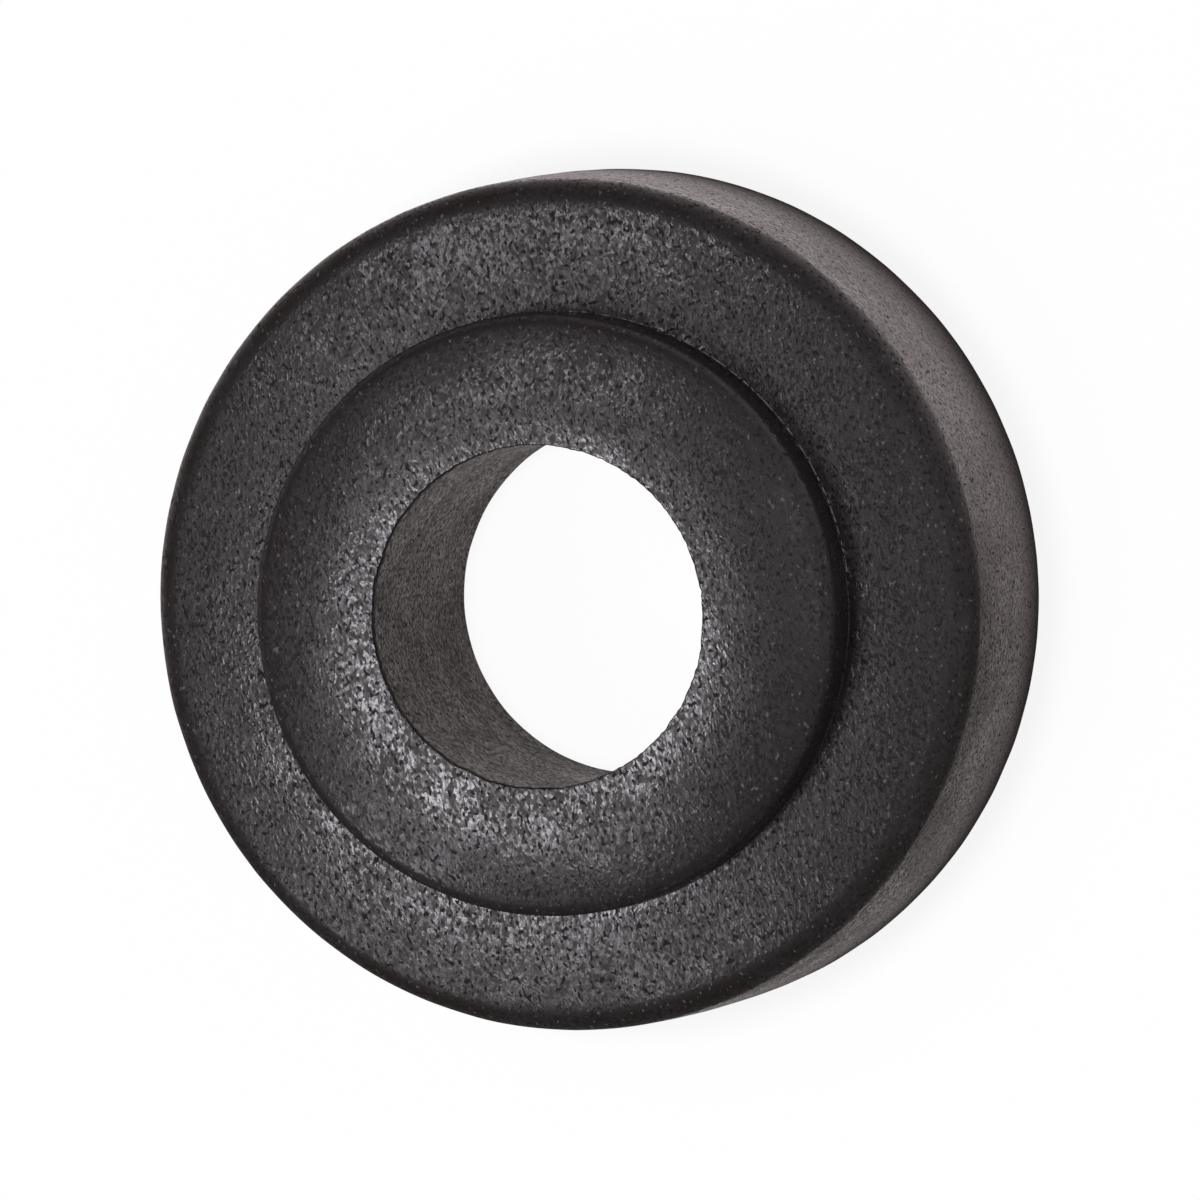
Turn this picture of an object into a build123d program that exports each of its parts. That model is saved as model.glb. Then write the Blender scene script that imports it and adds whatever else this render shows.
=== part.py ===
"""Rubber bushing: a thick round flange with a low crowned hub on its front and a bore.

One moulded piece of black rubber, the same all round its bore, which is the Z axis.
The flat back face lies on Z = 0 and the hub points up. All sizes are in millimetres.
"""

from build123d import *
import os

# ---------------------------------------------------------------- driving sizes
outer_diameter = 32.0       # across the fullest part of the flange's rim
bore_diameter = 13.2        # across the bore's straight wall: clears an M12 bolt
hub_diameter = 22.5         # across the hub's straight wall
flange_height = 10.1        # back face to the foot of the hub
hub_height = 2.8            # foot of the hub to the land round the bore

# A thin lip draws the front mouth of the bore in, where the mould's core parted from it.
lip_reach = 0.25            # how far the lip stands in from the bore's wall
lip_depth = 0.35            # depth of the lip's own edge, from the land down
lip_slope = 0.35            # depth over which the lip's underside runs back to the wall

# The flange: its rim swells a little, and its face falls away from the hub.
rim_swell = 0.08            # how far the middle of the rim stands proud of its edges
face_fall = 0.72            # drop of the face from the hub's foot to the rim

# The hub: a narrow flat land round the mouth, then a low crown out to its wall.
land_width = 0.30           # ring round the mouth of the bore
crown_fall = 0.82           # drop of the crown from the land to the hub's wall

# Roundings of the section. The hub's foot and both mouths of the bore are left sharp.
front_edge_round = 1.15     # flange's face to rim
back_edge_round = 0.30      # rim to back face
shoulder_round = 0.70       # crown to the hub's straight wall

# ---------------------------------------------------------------- sizes that follow
bore_radius = bore_diameter / 2
mouth_radius = bore_radius - lip_reach
hub_radius = hub_diameter / 2
rim_edge_radius = outer_diameter / 2 - rim_swell
rim_top = flange_height - face_fall
full_height = flange_height + hub_height
lip_foot_height = full_height - lip_depth


def half_section():
    """Return the section from the bore to the rim: radius along X, height along Z."""
    back_mouth = (bore_radius, 0)
    back_edge = (rim_edge_radius, 0)
    rim_middle = (rim_edge_radius + rim_swell, rim_top / 2)
    front_edge = (rim_edge_radius, rim_top)
    foot = (hub_radius, flange_height)
    shoulder = (hub_radius, full_height - crown_fall)
    land_edge = (mouth_radius + land_width, full_height)
    front_mouth = (mouth_radius, full_height)
    lip_foot = (mouth_radius, lip_foot_height)
    wall_top = (bore_radius, lip_foot_height - lip_slope)

    rounds = {
        back_edge: back_edge_round,
        front_edge: front_edge_round,
        shoulder: shoulder_round,
    }
    with BuildSketch(Plane.XZ) as section:
        with BuildLine():
            Line(back_mouth, back_edge)
            ThreePointArc(back_edge, rim_middle, front_edge)
            Polyline(front_edge, foot, shoulder)
            TangentArc(land_edge, shoulder, tangent=(1, 0))
            Polyline(land_edge, front_mouth, lip_foot, wall_top, back_mouth)
        make_face()
        for corner, radius in rounds.items():
            fillet(section.vertices().sort_by_distance(corner)[0], radius)
    return section.sketch


def moulded_bushing():
    """Turn the half section once round the bore's axis."""
    with BuildPart() as body:
        add(half_section())
        revolve(axis=Axis.Z)
    return body.part


bushing = moulded_bushing()
bushing.label = "bushing"

os.makedirs("parts", exist_ok=True)
export_step(bushing, "parts/bushing.step")
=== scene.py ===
"""Rubber bushing: the moulded part, dressed and laid on a pale studio floor.

One piece of black rubber: a thick round flange with a low crowned hub on its front and a
straight bore. The bore is the Z axis, the flat back face lies on Z = 0 and the hub points
up. Lengths are in metres.
"""

import logging
import math
from dataclasses import dataclass
from enum import Enum

import bpy
from mathutils import Matrix, Vector, noise


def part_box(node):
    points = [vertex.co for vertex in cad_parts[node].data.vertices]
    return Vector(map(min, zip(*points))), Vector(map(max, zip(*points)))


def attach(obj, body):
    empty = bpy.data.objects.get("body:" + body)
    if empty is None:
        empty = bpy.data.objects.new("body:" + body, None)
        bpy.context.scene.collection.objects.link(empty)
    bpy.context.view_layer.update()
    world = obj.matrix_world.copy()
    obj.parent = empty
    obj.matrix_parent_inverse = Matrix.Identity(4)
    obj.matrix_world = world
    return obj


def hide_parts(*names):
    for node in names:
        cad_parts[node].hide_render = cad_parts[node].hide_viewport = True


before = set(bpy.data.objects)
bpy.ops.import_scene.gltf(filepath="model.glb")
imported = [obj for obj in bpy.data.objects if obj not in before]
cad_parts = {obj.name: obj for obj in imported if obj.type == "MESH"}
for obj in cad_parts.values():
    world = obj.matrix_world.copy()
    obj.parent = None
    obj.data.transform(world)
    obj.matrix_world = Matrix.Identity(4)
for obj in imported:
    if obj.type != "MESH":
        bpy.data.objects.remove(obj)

MM = 0.001
NODE = "bushing"
BODY = "root"
WORN = "worn"

Colour = tuple[float, float, float]
Place = tuple[float, float, float]
Span = tuple[float, float]

log = logging.getLogger("bushing")


# --------------------------------------------------------------------------- shader help


class NodeDesk:
    """Adds and joins the nodes of one node tree."""

    def __init__(self, tree: bpy.types.NodeTree) -> None:
        """Start with an empty tree."""
        self.tree = tree
        tree.nodes.clear()

    def add(self, kind: str, **settings: object) -> bpy.types.Node:
        """Add a node and set its properties.

        Args:
            kind: The node's type, without the ShaderNode that leads it.
            settings: Properties of the node, by name.

        Returns:
            The new node.
        """
        node = self.tree.nodes.new("ShaderNode" + kind)
        for name, value in settings.items():
            setattr(node, name, value)
        return node

    def feed(self, socket: bpy.types.NodeSocket, value: object) -> None:
        """Set an input to a plain value, or link it where the value is an output."""
        if isinstance(value, bpy.types.NodeSocket):
            self.tree.links.new(value, socket)
        else:
            socket.default_value = value

    def math(self, operation: str, first: object, second: object = 0.0,
             clamp: bool = False) -> bpy.types.NodeSocket:
        """Add a Math node.

        Args:
            operation: The node's operation.
            first: The first input, a number or an output.
            second: The second input, where the operation has one.
            clamp: True keeps the result from 0 to 1.

        Returns:
            The node's output.
        """
        node = self.add("Math", operation=operation, use_clamp=clamp)
        for socket, value in zip(node.inputs, (first, second)):
            self.feed(socket, value)
        return node.outputs[0]

    def vector(self, operation: str, first: object, second: object) -> bpy.types.NodeSocket:
        """Add a Vector Math node of two vectors and return its vector."""
        node = self.add("VectorMath", operation=operation)
        self.feed(node.inputs[0], first)
        self.feed(node.inputs[1], second)
        return node.outputs[0]

    def dot(self, first: object, second: object) -> bpy.types.NodeSocket:
        """Add the dot product of two vectors and return its value."""
        node = self.add("VectorMath", operation="DOT_PRODUCT")
        self.feed(node.inputs[0], first)
        self.feed(node.inputs[1], second)
        return node.outputs["Value"]

    def shifted(self, offset: object) -> bpy.types.NodeSocket:
        """Return the place on the part, moved by an offset so that no two grains match."""
        return self.vector("ADD", self.add("TexCoord").outputs["Object"], offset)

    def remap(self, value: object, low: float, high: float, start: object = 0.0,
              end: object = 1.0, smooth: bool = False) -> bpy.types.NodeSocket:
        """Carry a value from one range to another, clamped at both ends.

        Args:
            value: The output that is carried over.
            low: The value that gives start.
            high: The value that gives end.
            start: The result at and below low.
            end: The result at and above high.
            smooth: True eases both ends.

        Returns:
            The node's output.
        """
        kind = "SMOOTHSTEP" if smooth else "LINEAR"
        node = self.add("MapRange", interpolation_type=kind, clamp=True)
        for name, item in (("Value", value), ("From Min", low), ("From Max", high),
                           ("To Min", start), ("To Max", end)):
            self.feed(node.inputs[name], item)
        return node.outputs["Result"]

    def flakes(self, place: bpy.types.NodeSocket, scale: object) -> bpy.types.NodeSocket:
        """Add a Voronoi texture of small cells and return each cell's own value."""
        node = self.add("TexVoronoi", feature="F1")
        self.feed(node.inputs["Vector"], place)
        self.feed(node.inputs["Scale"], scale)
        return self.dot(node.outputs["Color"], (1.0, 0.0, 0.0))

    def noise(self, place: bpy.types.NodeSocket, scale: object, detail: float = 0.0,
              roughness: float = 0.5, distortion: float = 0.0) -> bpy.types.NodeSocket:
        """Add a Noise texture.

        Args:
            place: The coordinates that it reads.
            scale: Its scale, in cells a metre.
            detail: Its number of finer layers.
            roughness: How strong the finer layers are.
            distortion: How far its lines are pulled about.

        Returns:
            The texture's value, about 0.5 on average.
        """
        node = self.add("TexNoise", noise_dimensions="3D")
        self.feed(node.inputs["Vector"], place)
        self.feed(node.inputs["Scale"], scale)
        self.feed(node.inputs["Detail"], detail)
        self.feed(node.inputs["Roughness"], roughness)
        self.feed(node.inputs["Distortion"], distortion)
        return node.outputs["Fac"]

    def blend(self, share: object, first: object, second: object) -> bpy.types.NodeSocket:
        """Mix two colours.

        Args:
            share: How much of the second colour shows.
            first: The colour at a share of 0.
            second: The colour at a share of 1.

        Returns:
            The mixed colour.
        """
        node = self.add("Mix", data_type="RGBA", blend_type="MIX")
        self.feed(node.inputs[0], share)
        self.feed(node.inputs[6], first)
        self.feed(node.inputs[7], second)
        return node.outputs[2]


def opaque(colour: Colour) -> tuple[float, float, float, float]:
    """Give a colour the alpha that a socket asks for."""
    return (*colour, 1.0)


# --------------------------------------------------------------------------- node groups


def rubber_grain_group() -> bpy.types.NodeTree:
    """Build the fine grain that a blasted mould leaves in rubber.

    Returns:
        A group with inputs Size, Stretch, Rise and Offset, where Stretch draws the grain
        out along Y and Rise brings up more of its tops. It puts out a Height about 0, a
        Speckle mask that is 0 in the hollows and 1 on the tops of the grain, and two
        sparse masks: Pit for the deep dots and Glint for the bright ones.
    """
    coarse_scale, coarse_share = 0.37, 0.12
    flake_scale, fine_in_flakes = 1.45, 1.2
    dot_scale, dot_shift = 1.25, (1.7, 0.9, 0.4)
    height_gain = 4.0
    name = "rubber grain"
    if name in bpy.data.node_groups:
        return bpy.data.node_groups[name]
    group = bpy.data.node_groups.new(name, "ShaderNodeTree")
    for label, value in (("Size", 0.15 * MM), ("Stretch", 1.0), ("Rise", 0.0),
                         ("Offset", 0.0)):
        socket = group.interface.new_socket(name=label, in_out="INPUT",
                                            socket_type="NodeSocketFloat")
        socket.default_value = value
    for label in ("Height", "Speckle", "Pit", "Glint"):
        group.interface.new_socket(name=label, in_out="OUTPUT",
                                   socket_type="NodeSocketFloat")

    desk = NodeDesk(group)
    inside = group.nodes.new("NodeGroupInput")
    out = group.nodes.new("NodeGroupOutput")
    draw = desk.add("CombineXYZ")
    for axis in ("X", "Z"):
        desk.feed(draw.inputs[axis], 1.0)
    desk.feed(draw.inputs["Y"], desk.math("DIVIDE", 1.0, inside.outputs["Stretch"]))
    place = desk.vector("MULTIPLY", desk.shifted(inside.outputs["Offset"]),
                        draw.outputs[0])
    fine_scale = desk.math("DIVIDE", 1.0, inside.outputs["Size"])
    fine = desk.noise(place, fine_scale, detail=1.0, roughness=0.55)
    coarse = desk.noise(place, desk.math("MULTIPLY", fine_scale, coarse_scale))
    fine = desk.math("SUBTRACT", fine, 0.5)
    coarse = desk.math("SUBTRACT", coarse, 0.5)
    height = desk.math("ADD", fine, desk.math("MULTIPLY", coarse, coarse_share))
    desk.feed(out.inputs["Height"], desk.math("MULTIPLY", height, height_gain))
    flake = desk.flakes(place, desk.math("MULTIPLY", fine_scale, flake_scale))
    raised = desk.math("ADD", desk.math("ADD", flake, inside.outputs["Rise"]),
                       desk.math("MULTIPLY", fine, fine_in_flakes))
    desk.feed(out.inputs["Speckle"], desk.remap(raised, 0.10, 0.92))
    aside = desk.vector("ADD", place, dot_shift)
    dots = desk.noise(aside, desk.math("MULTIPLY", fine_scale, dot_scale))
    desk.feed(out.inputs["Pit"], desk.remap(dots, 0.37, 0.28))
    desk.feed(out.inputs["Glint"], desk.remap(dots, 0.74, 0.80))
    return group


def rubber_bloom_group() -> bpy.types.NodeTree:
    """Build the cloudy bloom that comes to the surface of moulded rubber.

    Returns:
        A group with inputs Size and Offset, which puts out a Bloom mask in soft,
        streaky patches.
    """
    name = "rubber bloom"
    if name in bpy.data.node_groups:
        return bpy.data.node_groups[name]
    group = bpy.data.node_groups.new(name, "ShaderNodeTree")
    for label, value in (("Size", 3.0 * MM), ("Offset", 0.0)):
        socket = group.interface.new_socket(name=label, in_out="INPUT",
                                            socket_type="NodeSocketFloat")
        socket.default_value = value
    group.interface.new_socket(name="Bloom", in_out="OUTPUT",
                               socket_type="NodeSocketFloat")

    desk = NodeDesk(group)
    inside = group.nodes.new("NodeGroupInput")
    out = group.nodes.new("NodeGroupOutput")
    scale = desk.math("DIVIDE", 1.0, inside.outputs["Size"])
    cloud = desk.noise(desk.shifted(inside.outputs["Offset"]), scale, detail=3.0,
                       roughness=0.6, distortion=0.6)
    desk.feed(out.inputs["Bloom"], desk.remap(cloud, 0.34, 0.66, smooth=True))
    return group


def turning_streak_group() -> bpy.types.NodeTree:
    """Build the faint streaks that a turned mould leaves round a straight wall.

    Returns:
        A group with inputs Width, Length and Offset, which puts out a Streak mask whose
        lines run round the bore's axis.
    """
    name = "turning streak"
    if name in bpy.data.node_groups:
        return bpy.data.node_groups[name]
    group = bpy.data.node_groups.new(name, "ShaderNodeTree")
    for label, value in (("Width", 0.25 * MM), ("Length", 4.0 * MM), ("Offset", 0.0)):
        socket = group.interface.new_socket(name=label, in_out="INPUT",
                                            socket_type="NodeSocketFloat")
        socket.default_value = value
    group.interface.new_socket(name="Streak", in_out="OUTPUT",
                               socket_type="NodeSocketFloat")

    desk = NodeDesk(group)
    inside = group.nodes.new("NodeGroupInput")
    out = group.nodes.new("NodeGroupOutput")
    stretch = desk.add("CombineXYZ")
    around = desk.math("DIVIDE", 1.0, inside.outputs["Length"])
    for axis in ("X", "Y"):
        desk.feed(stretch.inputs[axis], around)
    desk.feed(stretch.inputs["Z"], desk.math("DIVIDE", 1.0, inside.outputs["Width"]))
    place = desk.vector("MULTIPLY", desk.shifted(inside.outputs["Offset"]),
                        stretch.outputs[0])
    lines = desk.noise(place, 1.0, detail=2.0, roughness=0.6)
    desk.feed(out.inputs["Streak"], desk.remap(lines, 0.40, 0.66, smooth=True))
    return group


def scuff_group() -> bpy.types.NodeTree:
    """Build one short mark scraped into the rubber.

    Returns:
        A group with inputs Start, End and Width, which puts out a Mask that is 1 along
        the middle of the mark and fades at its broken edges.
    """
    ragged_share = 2.2
    name = "scuff"
    if name in bpy.data.node_groups:
        return bpy.data.node_groups[name]
    group = bpy.data.node_groups.new(name, "ShaderNodeTree")
    for label, kind in (("Start", "NodeSocketVector"), ("End", "NodeSocketVector"),
                        ("Width", "NodeSocketFloat")):
        group.interface.new_socket(name=label, in_out="INPUT", socket_type=kind)
    group.interface.new_socket(name="Mask", in_out="OUTPUT", socket_type="NodeSocketFloat")

    desk = NodeDesk(group)
    inside = group.nodes.new("NodeGroupInput")
    out = group.nodes.new("NodeGroupOutput")
    coords = desk.add("TexCoord")
    away = desk.vector("SUBTRACT", coords.outputs["Object"], inside.outputs["Start"])
    run = desk.vector("SUBTRACT", inside.outputs["End"], inside.outputs["Start"])
    share = desk.math("DIVIDE", desk.dot(away, run), desk.dot(run, run), clamp=True)
    reach = desk.add("VectorMath", operation="SCALE")
    desk.feed(reach.inputs[0], run)
    desk.feed(reach.inputs["Scale"], share)
    aside = desk.vector("SUBTRACT", away, reach.outputs[0])
    distance = desk.math("SQRT", desk.dot(aside, aside))
    ragged = desk.noise(coords.outputs["Object"],
                        desk.math("DIVIDE", 0.7, inside.outputs["Width"]), detail=1.0)
    edge = desk.math("ADD", desk.math("DIVIDE", distance, inside.outputs["Width"]),
                     desk.math("MULTIPLY", desk.math("SUBTRACT", ragged, 0.5),
                               ragged_share))
    desk.feed(out.inputs["Mask"], desk.remap(edge, 0.75, 0.25))
    return group


# --------------------------------------------------------------------------- finishes


@dataclass(frozen=True)
class Scuff:
    """A short mark scraped into the rubber, placed round the bore."""

    start_turn: float
    start_radius: float
    end_turn: float
    end_radius: float
    start_height: float
    end_height: float
    width: float

    def ends(self) -> tuple[Vector, Vector]:
        """Return the two ends of the mark."""
        start, end = math.radians(self.start_turn), math.radians(self.end_turn)
        return (Vector((self.start_radius * math.cos(start),
                        self.start_radius * math.sin(start), self.start_height)),
                Vector((self.end_radius * math.cos(end),
                        self.end_radius * math.sin(end), self.end_height)))


@dataclass(frozen=True)
class RubberFinish:
    """Black rubber as one part of the mould leaves it."""

    name: str
    hollow: Colour = (0.0118, 0.0080, 0.0075)
    top: Colour = (0.0172, 0.0140, 0.0140)
    bloomed: Colour = (0.0220, 0.0192, 0.0205)
    glint: Colour = (0.075, 0.070, 0.069)
    pit: Colour = (0.004, 0.0035, 0.0033)
    hollow_roughness: float = 0.55
    top_roughness: float = 0.18
    bloom_roughness: float = 0.155
    pit_roughness: float = 0.80
    worn_roughness: float = 0.45
    grain_size: float = 0.155 * MM
    grain_stretch: float = 1.6
    bloom_rise: float = 0.15
    grain_depth: float = 0.0036 * MM
    worn_grain: float = 0.35
    mark_depth: float = 3.0
    bloom_size: float = 3.0 * MM
    offset: float = 0.0
    specular: float = 0.35
    tint: Colour = (0.985, 0.945, 1.0)
    streaks: float = 0.0
    scuffs: tuple[Scuff, ...] = ()

    def material(self) -> bpy.types.Material:
        """Build the finish.

        Returns:
            A material with its own grain, bloom, gloss and marks.
        """
        material = bpy.data.materials.new(self.name)
        material.use_nodes = True
        desk = NodeDesk(material.node_tree)
        shader = desk.add("BsdfPrincipled")
        shader.inputs["Specular IOR Level"].default_value = self.specular
        shader.inputs["Specular Tint"].default_value = opaque(self.tint)
        out = desk.add("OutputMaterial")
        desk.feed(out.inputs["Surface"], shader.outputs[0])

        grain = desk.add("Group", node_tree=rubber_grain_group())
        desk.feed(grain.inputs["Size"], self.grain_size)
        desk.feed(grain.inputs["Stretch"], self.grain_stretch)
        desk.feed(grain.inputs["Offset"], self.offset)
        mask, speckle = self.clouds(desk), grain.outputs["Speckle"]
        desk.feed(grain.inputs["Rise"], desk.remap(mask, 0.0, 1.0, -self.bloom_rise,
                                                   self.bloom_rise))
        worn = desk.add("Attribute", attribute_name=WORN).outputs["Fac"]
        marks = self.marks(desk)

        dark = desk.math("MAXIMUM", grain.outputs["Pit"], marks)
        tops = desk.blend(mask, opaque(self.top), opaque(self.bloomed))
        colour = desk.blend(speckle, opaque(self.hollow), tops)
        colour = desk.blend(grain.outputs["Glint"], colour, opaque(self.glint))
        colour = desk.blend(dark, colour, opaque(self.pit))
        desk.feed(shader.inputs["Base Color"], colour)

        tops_rough = desk.remap(mask, 0.0, 1.0, self.top_roughness, self.bloom_roughness)
        rough = desk.remap(speckle, 0.0, 1.0, self.hollow_roughness, tops_rough)
        rough = desk.remap(worn, 0.0, 1.0, rough, self.worn_roughness)
        rough = desk.remap(dark, 0.0, 1.0, rough, self.pit_roughness)
        desk.feed(shader.inputs["Roughness"], rough)

        lift = desk.math("MULTIPLY", grain.outputs["Height"],
                         desk.remap(worn, 0.0, 1.0, 1.0, self.worn_grain))
        bump = desk.add("Bump")
        desk.feed(bump.inputs["Strength"], 1.0)
        desk.feed(bump.inputs["Distance"], self.grain_depth)
        cut = desk.math("MULTIPLY", marks, self.mark_depth)
        desk.feed(bump.inputs["Height"], desk.math("SUBTRACT", lift, cut))
        desk.feed(shader.inputs["Normal"], bump.outputs[0])
        return material

    def clouds(self, desk: NodeDesk) -> bpy.types.NodeSocket:
        """Lay the bloom on the finish, and the streaks where it has them.

        Args:
            desk: The desk of the material's own tree.

        Returns:
            The mask of where the rubber is bloomed.
        """
        bloom = desk.add("Group", node_tree=rubber_bloom_group())
        desk.feed(bloom.inputs["Size"], self.bloom_size)
        desk.feed(bloom.inputs["Offset"], self.offset)
        if self.streaks <= 0:
            return bloom.outputs["Bloom"]
        streak = desk.add("Group", node_tree=turning_streak_group())
        desk.feed(streak.inputs["Offset"], self.offset)
        return desk.remap(self.streaks, 0.0, 1.0, bloom.outputs["Bloom"],
                          streak.outputs["Streak"])

    def marks(self, desk: NodeDesk) -> object:
        """Lay the scuffs on the finish.

        Args:
            desk: The desk of the material's own tree.

        Returns:
            The mask of all the scuffs together, or 0 where there are none.
        """
        mask: object = 0.0
        for scuff in self.scuffs:
            mark = desk.add("Group", node_tree=scuff_group())
            start, end = scuff.ends()
            desk.feed(mark.inputs["Start"], start)
            desk.feed(mark.inputs["End"], end)
            desk.feed(mark.inputs["Width"], scuff.width)
            mask = desk.math("MAXIMUM", mask, mark.outputs["Mask"])
        return mask


class Region(Enum):
    """The parts of the moulding, each with its own finish."""

    FLANGE = 0
    HUB = 1
    RIM = 2
    BORE = 3
    BACK = 4
    LIP = 5
    FIN = 6


FINISHES: dict[Region, RubberFinish] = {
    Region.FLANGE: RubberFinish("flange_face", specular=0.30, scuffs=(
        Scuff(-105.7, 12.53 * MM, -100.0, 11.97 * MM, 9.9 * MM, 10.0 * MM, 0.09 * MM),)),
    Region.HUB: RubberFinish("hub_crown", offset=0.11),
    Region.RIM: RubberFinish("rim_band", hollow_roughness=0.46, top_roughness=0.30,
                             bloom_roughness=0.22, worn_roughness=0.40, specular=0.38,
                             grain_depth=0.0050 * MM, grain_stretch=1.1, offset=0.21,
                             tint=(1.0, 0.89, 0.90), streaks=0.2,
                             hollow=(0.022, 0.0143, 0.0136), top=(0.028, 0.0200, 0.0194),
                             bloomed=(0.031, 0.0240, 0.0234)),
    # The bore wall's colours, darker than the rest of the rubber, are painted shade inside
    # the bore.
    Region.BORE: RubberFinish("bore_wall_painted_shade", hollow_roughness=0.62, top_roughness=0.36,
                              bloom_roughness=0.30, worn_roughness=0.55, specular=0.12,
                              grain_depth=0.005 * MM, grain_stretch=1.1, offset=0.37,
                              tint=(1.0, 0.85, 0.86), streaks=0.15,
                              hollow=(0.0076, 0.0048, 0.0045),
                              top=(0.0135, 0.0091, 0.0087),
                              bloomed=(0.0150, 0.0109, 0.0104), scuffs=(
        Scuff(-213.3, 6.6 * MM, -209.0, 6.6 * MM, 3.23 * MM, 3.62 * MM, 0.07 * MM),)),
    Region.BACK: RubberFinish("back_face", offset=0.53),
    # The lip is torn in its shape; its near-black colours are painted shade, the dark
    # crease at the mouth of the bore.
    Region.LIP: RubberFinish("torn_lip_painted_shade", hollow=(0.006, 0.0045, 0.004),
                             top=(0.012, 0.0105, 0.010), hollow_roughness=0.85,
                             top_roughness=0.70, bloom_roughness=0.70, specular=0.2,
                             worn_roughness=0.80, offset=0.71),
    # The fin of flash is real in shape, but its light colours are a painted highlight: a
    # bright line along the hub's foot.
    Region.FIN: RubberFinish("mould_flash_painted_highlight", hollow=(0.10, 0.09, 0.08),
                             top=(0.27, 0.25, 0.23), bloomed=(0.30, 0.28, 0.26),
                             hollow_roughness=0.55, top_roughness=0.45, offset=0.87),
}


# --------------------------------------------------------------------------- the bushing


@dataclass(frozen=True)
class Corner:
    """A corner of the turned section, and the run that leaves it for the next one."""

    radius: float
    height: float
    rounding: float = 0.0
    spacing: float = 0.30 * MM
    region: Region = Region.FLANGE
    bow: float = 0.0
    fin: float = 0.0
    torn: float = 0.0

    def point(self) -> Vector:
        """Return the corner as radius and height."""
        return Vector((self.radius, self.height))

    def ways(self, after: "Corner") -> tuple[Vector, Vector]:
        """Work out which way the run to the next corner goes.

        Args:
            after: The next corner.

        Returns:
            The way that the run sets off, and the way that it arrives.
        """
        run = after.point() - self.point()
        along = run.normalized()
        out = Vector((along.y, -along.x))
        lift = math.atan(4 * self.bow / run.length)
        start = along * math.cos(lift) + out * math.sin(lift)
        return start, along * math.cos(lift) - out * math.sin(lift)


@dataclass(frozen=True)
class Station:
    """One point of the finished section, with the way out of the rubber there."""

    place: Vector
    out: Vector
    corner: Corner
    worn: float
    uneven: float


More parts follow.
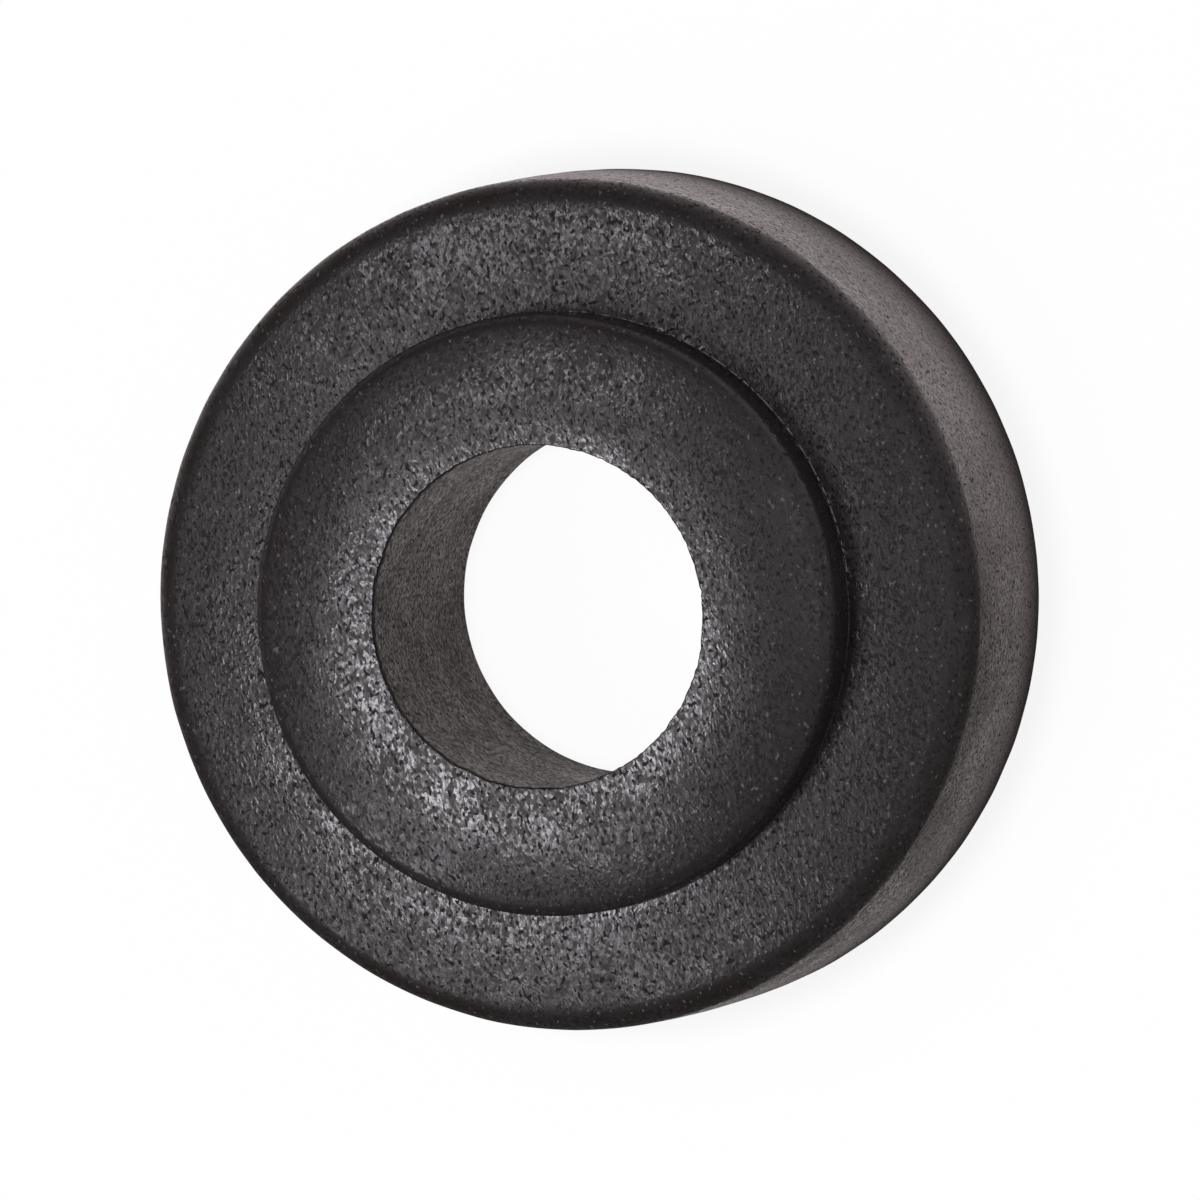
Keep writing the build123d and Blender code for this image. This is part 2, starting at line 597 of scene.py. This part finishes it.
@dataclass
class MouldedBushing:
    """The rubber bushing, turned from one half section round its bore."""

    outer_radius: float
    full_height: float
    bore_radius: float = 6.6 * MM
    lip_reach: float = 0.25 * MM
    lip_depth: float = 0.35 * MM
    lip_slope: float = 0.35 * MM
    lip_tear: float = 0.08 * MM
    hub_radius: float = 11.25 * MM
    flange_height: float = 10.1 * MM
    face_fall: float = 0.72 * MM
    face_bow: float = 0.07 * MM
    rim_swell: float = 0.08 * MM
    land_width: float = 0.30 * MM
    crown_fall: float = 0.82 * MM
    front_edge_round: float = 1.15 * MM
    back_edge_round: float = 0.30 * MM
    shoulder_round: float = 0.70 * MM
    front_mouth_round: float = 0.06 * MM
    back_mouth_round: float = 0.15 * MM
    fin_gap: float = 0.02 * MM
    fin_width: float = 0.06 * MM
    fin_height: float = 0.10 * MM
    fin_middle: float = 27.0
    fin_spread: float = 34.0
    fin_fade: float = 8.0
    fin_least: float = 0.1
    core_drift: float = 0.22 * MM
    unevenness: float = 0.035 * MM
    turns: int = 600
    arc_steps: int = 10

    def corners(self) -> list[Corner]:
        """List the corners of the section, from the back of the bore outwards and round.

        Returns:
            The corners, each with its rounding and the region of the run after it.
        """
        edge = self.outer_radius - self.rim_swell
        mouth = self.bore_radius - self.lip_reach
        lip_foot = self.full_height - self.lip_depth
        fin_in = self.hub_radius + self.fin_gap
        fin_out = fin_in + self.fin_width
        return [
            Corner(self.bore_radius, 0.0, self.back_mouth_round, 0.9 * MM, Region.BACK),
            Corner(edge, 0.0, self.back_edge_round, 0.4 * MM, Region.RIM,
                   bow=self.rim_swell),
            Corner(edge, self.flange_height - self.face_fall, self.front_edge_round,
                   0.25 * MM, bow=self.face_bow),
            Corner(fin_out, self.flange_height, region=Region.FIN),
            Corner((fin_in + fin_out) / 2, self.flange_height, region=Region.FIN,
                   fin=self.fin_height),
            Corner(fin_in, self.flange_height),
            Corner(self.hub_radius, self.flange_height, 0.0, 0.20 * MM, Region.HUB),
            Corner(self.hub_radius, self.full_height - self.crown_fall,
                   self.shoulder_round, 0.22 * MM, Region.HUB, bow=self.crown_fall / 4),
            Corner(mouth + self.land_width, self.full_height, 0.0, 0.15 * MM,
                   Region.HUB),
            Corner(mouth, self.full_height, self.front_mouth_round, 0.12 * MM,
                   Region.LIP, torn=self.lip_tear),
            Corner(mouth, lip_foot, 0.0, 0.15 * MM, Region.LIP, torn=self.lip_tear),
            Corner(self.bore_radius, lip_foot - self.lip_slope, 0.0, 0.6 * MM,
                   Region.BORE),
        ]

    def rounded(self, before: Corner, corner: Corner, after: Corner) -> list[Vector]:
        """Round one corner of the section.

        Args:
            before: The corner before it.
            corner: The corner that is rounded.
            after: The corner after it.

        Returns:
            The points along the rounding, or the corner alone where it is sharp.
        """
        here = corner.point()
        if corner.rounding <= 0:
            return [here]
        back = -before.ways(corner)[1]
        ahead = corner.ways(after)[0]
        half = back.angle(ahead) / 2
        centre = here + (back + ahead).normalized() * corner.rounding / math.sin(half)
        start = here + back * corner.rounding / math.tan(half) - centre
        end = here + ahead * corner.rounding / math.tan(half) - centre
        first = math.atan2(start.y, start.x)
        sweep = (math.atan2(end.y, end.x) - first + math.pi) % math.tau - math.pi
        points = []
        for step in range(self.arc_steps + 1):
            turn = first + sweep * step / self.arc_steps
            points.append(centre + Vector((math.cos(turn), math.sin(turn)))
                          * corner.rounding)
        return points

    def section(self) -> list[Station]:
        """Work out the whole section as a closed ring of stations.

        Returns:
            The stations in order, from the back of the bore outwards and round.
        """
        corners = self.corners()
        count = len(corners)
        ring: list[tuple[Vector, Corner, float]] = []
        for index, corner in enumerate(corners):
            after = corners[(index + 1) % count]
            last = corners[(index + 2) % count]
            turned = self.rounded(corners[index - 1], corner, after)
            for step, point in enumerate(turned):
                worn = math.sin(math.pi * step / self.arc_steps)
                ring.append((point, corner, worn if corner.rounding > 0 else 0.0))
            start = turned[-1]
            run = self.rounded(corner, after, last)[0] - start
            whole = (after.point() - corner.point()).length
            out = Vector((run.y, -run.x)).normalized()
            bow = corner.bow * (run.length / whole) ** 2
            steps = max(1, round(run.length / corner.spacing))
            for step in range(1, steps):
                share = step / steps
                point = start + run * share + out * bow * 4 * share * (1 - share)
                ring.append((point, corner, 0.0))
        return self.stations(ring)

    def stations(self, ring: list[tuple[Vector, Corner, float]]) -> list[Station]:
        """Give each point of the section its way out of the rubber.

        Args:
            ring: The points of the section, each with its corner and how worn it is.

        Returns:
            One station for each point.
        """
        made = []
        count = len(ring)
        for index, (point, corner, worn) in enumerate(ring):
            along = (ring[(index + 1) % count][0] - ring[index - 1][0]).normalized()
            flat_back = point.y < 0.02 * MM
            made.append(Station(point, Vector((along.y, -along.x)), corner, worn,
                                0.0 if flat_back else self.unevenness))
        return made

    def uneven(self, place: Vector) -> float:
        """Measure how far the rubber has drawn in at a place, from 0 to 1."""
        broad = noise.noise(place * 260.0)
        local = noise.noise(place * 700.0 + Vector((7.0, 3.0, 5.0)))
        return min(1.0, max(0.0, 0.5 + 0.35 * broad + 0.45 * local))

    def fin(self, angle: float) -> float:
        """Measure how high the broken fin of flash stands at an angle, from 0 to 1."""
        away = (math.degrees(angle) - self.fin_middle + 180.0) % 360.0 - 180.0
        fade = min(1.0, max(0.0, (self.fin_spread - abs(away)) / self.fin_fade))
        ring = Vector((math.cos(angle), math.sin(angle), 0.0))
        broken = 0.4 + 1.4 * noise.noise(ring * 33.0) + 1.2 * noise.noise(ring * 80.0)
        return fade * min(1.0, max(0.0, broken))

    def torn(self, angle: float) -> float:
        """Measure how far the lip is torn back at an angle, from 0 to 1."""
        ring = Vector((math.cos(angle), math.sin(angle), 2.0))
        ragged = 0.6 * noise.noise(ring * 9.0) + 0.5 * noise.noise(ring * 31.0)
        return min(1.0, max(0.0, 0.4 + ragged))

    def drift(self, radius: float) -> float:
        """Measure how far the mould's core has pulled the rubber aside at a radius."""
        share = (self.outer_radius - radius) / (self.outer_radius - self.hub_radius)
        return self.core_drift * min(1.0, max(0.0, share))

    def place(self, station: Station, angle: float) -> Vector:
        """Turn a station of the section round the bore, with its flaws.

        Args:
            station: The station.
            angle: How far it is turned, in radians.

        Returns:
            Its place on the part.
        """
        cosine, sine = math.cos(angle), math.sin(angle)
        radius = station.place.x + station.corner.torn * self.torn(angle)
        height = station.place.y + station.corner.fin * self.fin(angle)
        point = Vector((radius * cosine, radius * sine - self.drift(radius), height))
        out = Vector((station.out.x * cosine, station.out.x * sine, station.out.y))
        return point - out * station.uneven * self.uneven(point)

    def build(self) -> bpy.types.Object:
        """Turn the section into a closed mesh of quads and dress it.

        Returns:
            The bushing, in place.
        """
        section = self.section()
        count = len(section)
        points: list[Vector] = []
        faces: list[tuple[int, int, int, int]] = []
        regions: list[Region] = []
        for turn in range(self.turns):
            angle = math.tau * turn / self.turns
            points += [self.place(station, angle) for station in section]
            standing = self.fin(angle) > self.fin_least
            here, there = turn * count, ((turn + 1) % self.turns) * count
            for index, station in enumerate(section):
                after = (index + 1) % count
                faces.append((here + index, there + index, there + after, here + after))
                bare = station.corner.region is Region.FIN and not standing
                regions.append(Region.FLANGE if bare else station.corner.region)

        mesh = bpy.data.meshes.new("moulded_bushing")
        mesh.from_pydata([tuple(point) for point in points], [], faces)
        for region in Region:
            mesh.materials.append(FINISHES[region].material())
        mesh.polygons.foreach_set("material_index", [region.value for region in regions])
        worn = mesh.attributes.new(WORN, "FLOAT", "POINT")
        worn.data.foreach_set("value", [station.worn for station in section] * self.turns)
        mesh.shade_smooth()
        mesh.set_sharp_from_angle(angle=math.radians(40))
        mesh.validate()
        mesh.update()

        piece = bpy.data.objects.new("moulded_bushing", mesh)
        bpy.context.scene.collection.objects.link(piece)
        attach(piece, BODY)
        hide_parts(NODE)
        log.info("%s: %d faces, %d stations round the section", piece.name, len(faces),
                 count)
        return piece


# --------------------------------------------------------------------------- the studio


@dataclass(frozen=True)
class Softbox:
    """An oval soft lamp that faces the part."""

    name: str
    lean_right: float
    lean_near: float
    distance: float
    width: float
    length: float
    radiance: float

    def direction(self) -> Vector:
        """Return the way to the lamp from the part."""
        return Vector((math.tan(math.radians(self.lean_right)),
                       -math.tan(math.radians(self.lean_near)), 1.0)).normalized()

    def hang(self, target: Vector) -> bpy.types.Object:
        """Hang the lamp and turn it to face the part.

        Args:
            target: The point that it faces.

        Returns:
            The lamp.
        """
        data = bpy.data.lights.new(self.name, "AREA")
        data.shape = "ELLIPSE"
        data.size = self.width
        data.size_y = self.length
        data.energy = self.radiance * math.pi * math.pi * self.width * self.length / 4
        lamp = bpy.data.objects.new(self.name, data)
        bpy.context.scene.collection.objects.link(lamp)
        way = self.direction()
        lamp.location = target + way * self.distance
        lamp.rotation_euler = way.to_track_quat("Z", "Y").to_euler()
        lamp.visible_camera = False
        return lamp


@dataclass
class Studio:
    """A pale floor, soft lamps and a dim even room."""

    floor_size: float = 6.0
    floor_colour: Colour = (0.86, 0.86, 0.86)
    seen_white: float = 0.97
    # The shade_, mirrored_, contact_ and slope_ settings paint a contact shadow, a warm
    # tint and a falloff of light into the floor's glow.
    shade_reach: float = 1.5 * MM
    shade_depth: float = 0.08
    shade_span: Span = (0.5, 0.85)
    mirrored_colour: Colour = (1.0, 0.90, 0.90)
    mirrored_depth: float = 0.95
    contact_ring: Span = (9.0 * MM, 12.0 * MM)
    contact_depth: Span = (-0.20, 0.13)
    mirrored_ring: Span = (20.0 * MM, 45.0 * MM)
    mirrored_side: Span = (4.0 * MM, 24.0 * MM)
    mirrored_least: float = 0.25
    mirrored_span: Span = (-6.0 * MM, 8.0 * MM)
    mirrored_slope: Span = (0.20, 1.38)
    slope_ring: Span = (16.6 * MM, 18.8 * MM)
    slope_near: float = 1.10
    room_level: float = 0.04
    glow_level: float = 0.75
    glow_way: Place = (0.94, 0.0, 0.34)
    glow_span: Span = (0.35, 0.95)
    lamps: tuple[Softbox, ...] = (
        Softbox("key_softbox", -23.2, 3.8, 0.60, 0.14, 0.14, 18.0),
        Softbox("fill_softbox", -15.0, 4.0, 0.60, 0.11, 0.12, 9.4),
        Softbox("low_softbox", -24.0, 13.0, 0.60, 0.13, 0.13, 11.8),
        Softbox("low_left_softbox", -43.0, 28.0, 0.60, 0.20, 0.20, 5.7),
        Softbox("low_right_softbox", -15.0, 22.5, 0.60, 0.11, 0.11, 9.0),
        Softbox("top_left_softbox", -22.0, -18.5, 0.60, 0.13, 0.14, 8.9),
        Softbox("top_right_softbox", -7.0, -21.0, 0.60, 0.12, 0.12, 12.4),
        Softbox("right_softbox", 18.0, 0.0, 0.60, 0.25, 0.25, 0.9),
    )

    def floor_material(self) -> bpy.types.Material:
        """Build the floor's matte white, which looks white and keeps its shadows.

        Where the rubber mirrors it, the floor's glow carries painted light: a warm tint, a
        painted shadow where the part meets it, and a painted falloff, dimmer far off and
        towards -Y.
        Where the camera sees it, the glow carries a faint painted contact shadow.

        Returns:
            The floor's material.
        """
        material = bpy.data.materials.new("pale_floor")
        material.use_nodes = True
        desk = NodeDesk(material.node_tree)
        matte = desk.add("BsdfDiffuse")
        desk.feed(matte.inputs["Color"], opaque(self.floor_colour))
        white = desk.add("Emission")
        # Painted contact shadow: ambient occlusion darkens the floor's glow beside the
        # part.
        close = desk.add("AmbientOcclusion", samples=8)
        desk.feed(close.inputs["Distance"], self.shade_reach)
        path = desk.add("LightPath")
        glossy = path.outputs["Is Glossy Ray"]
        desk.feed(white.inputs["Color"], desk.blend(glossy, opaque((1.0, 1.0, 1.0)),
                                                    opaque(self.mirrored_colour)))
        deepest = desk.remap(glossy, 0.0, 1.0, 1.0 - self.shade_depth,
                             1.0 - self.mirrored_depth)
        place = desk.add("NewGeometry").outputs["Position"]
        away = desk.add("VectorMath", operation="LENGTH")
        desk.feed(away.inputs[0], place)
        contact = desk.remap(away.outputs["Value"], *self.contact_ring,
                             *self.contact_depth)
        shade = desk.remap(desk.math("SUBTRACT", close.outputs["AO"], contact),
                           *self.shade_span, deepest, 1.0)
        # Painted falloff of light in the glow that the rubber mirrors: dimmer far off
        # except on the +X side, and dimmer towards -Y.
        near = desk.remap(away.outputs["Value"], *self.mirrored_ring, 1.0,
                          self.mirrored_least)
        side = desk.remap(desk.dot(place, (1.0, 0.0, 0.0)), *self.mirrored_side,
                          self.mirrored_least, 1.0)
        slope = desk.remap(desk.dot(place, (0.0, 1.0, 0.0)), *self.mirrored_span,
                           *self.mirrored_slope)
        slope = desk.remap(away.outputs["Value"], *self.slope_ring, self.slope_near,
                           slope)
        fall = desk.math("MULTIPLY", desk.math("MAXIMUM", near, side), slope)
        fall = desk.remap(glossy, 0.0, 1.0, 1.0, fall)
        desk.feed(white.inputs["Strength"], desk.math("MULTIPLY", shade, fall))
        seen = desk.math("MAXIMUM", path.outputs["Is Camera Ray"],
                         path.outputs["Is Glossy Ray"])
        seen = desk.math("MAXIMUM", seen, path.outputs["Is Transmission Ray"])
        mix = desk.add("MixShader")
        desk.feed(mix.inputs[0], desk.math("MULTIPLY", seen, self.seen_white))
        desk.feed(mix.inputs[1], matte.outputs[0])
        desk.feed(mix.inputs[2], white.outputs[0])
        out = desk.add("OutputMaterial")
        desk.feed(out.inputs["Surface"], mix.outputs[0])
        return material

    def lay_floor(self) -> bpy.types.Object:
        """Lay the floor at Z = 0.

        Returns:
            The floor.
        """
        half = self.floor_size / 2
        mesh = bpy.data.meshes.new("floor")
        mesh.from_pydata([(-half, -half, 0), (half, -half, 0), (half, half, 0),
                          (-half, half, 0)], [], [(0, 1, 2, 3)])
        mesh.materials.append(self.floor_material())
        floor = bpy.data.objects.new("floor", mesh)
        bpy.context.scene.collection.objects.link(floor)
        return floor

    def light_room(self) -> None:
        """Light the room dimly, with a broad low glow on the right."""
        world = bpy.data.worlds.new("room")
        bpy.context.scene.world = world
        world.use_nodes = True
        desk = NodeDesk(world.node_tree)
        room = desk.add("Background")
        desk.feed(room.inputs["Color"], opaque((1.0, 1.0, 1.0)))
        facing = desk.dot(desk.add("TexCoord").outputs["Generated"], self.glow_way)
        desk.feed(room.inputs["Strength"],
                  desk.remap(facing, *self.glow_span, self.room_level,
                             self.glow_level))
        out = desk.add("OutputWorld")
        desk.feed(out.inputs["Surface"], room.outputs[0])

    def build(self, target: Vector) -> None:
        """Set up the floor, the room and the lamps.

        Args:
            target: The point that the lamps face.
        """
        self.lay_floor()
        self.light_room()
        for lamp in self.lamps:
            lamp.hang(target)
            log.info("%s hung %.2f m away", lamp.name, lamp.distance)


@dataclass(frozen=True)
class CameraStand:
    """A long lens that looks down on the part, tipped a little off its bore."""

    tip: float = 16.65
    roll: float = -11.81
    distance: float = 1.0
    lens: float = 805.1
    slide_right: float = 1.600 * MM
    slide_up: float = 0.254 * MM

    def place(self, target: Vector) -> bpy.types.Object:
        """Stand the camera up and make it the scene's own.

        Args:
            target: The middle of the flange's face, on the bore's axis.

        Returns:
            The camera.
        """
        tip, roll = math.radians(self.tip), math.radians(self.roll)
        back = Vector((math.sin(tip), 0.0, math.cos(tip)))
        over = (Vector((0.0, 0.0, -1.0)) + back * math.cos(tip)) / math.sin(tip)
        down = (-back).cross(over)
        right = over * math.cos(roll) - down * math.sin(roll)
        up = -(over * math.sin(roll) + down * math.cos(roll))

        data = bpy.data.cameras.new("camera")
        data.sensor_width = 36.0
        data.lens = self.lens
        data.clip_start = 0.01
        data.clip_end = 10.0
        camera = bpy.data.objects.new("camera", data)
        bpy.context.scene.collection.objects.link(camera)
        camera.location = (target + right * self.slide_right + up * self.slide_up
                           + back * self.distance)
        camera.rotation_euler = Matrix((right, up, back)).transposed().to_euler()
        bpy.context.scene.camera = camera
        return camera


def main() -> None:
    """Build the bushing and its studio."""
    logging.basicConfig(level=logging.INFO, format="%(name)s: %(message)s")
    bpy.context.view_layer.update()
    low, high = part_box(NODE)

    bushing = MouldedBushing(outer_radius=(high.x - low.x) / 2,
                             full_height=high.z - low.z)
    bushing.build()
    middle = Vector((0.0, 0.0, bushing.flange_height))
    Studio().build(middle)
    CameraStand().place(middle)
    bpy.context.scene.view_settings.view_transform = "Standard"

    bpy.context.view_layer.update()


if __name__ == "__main__":
    main()
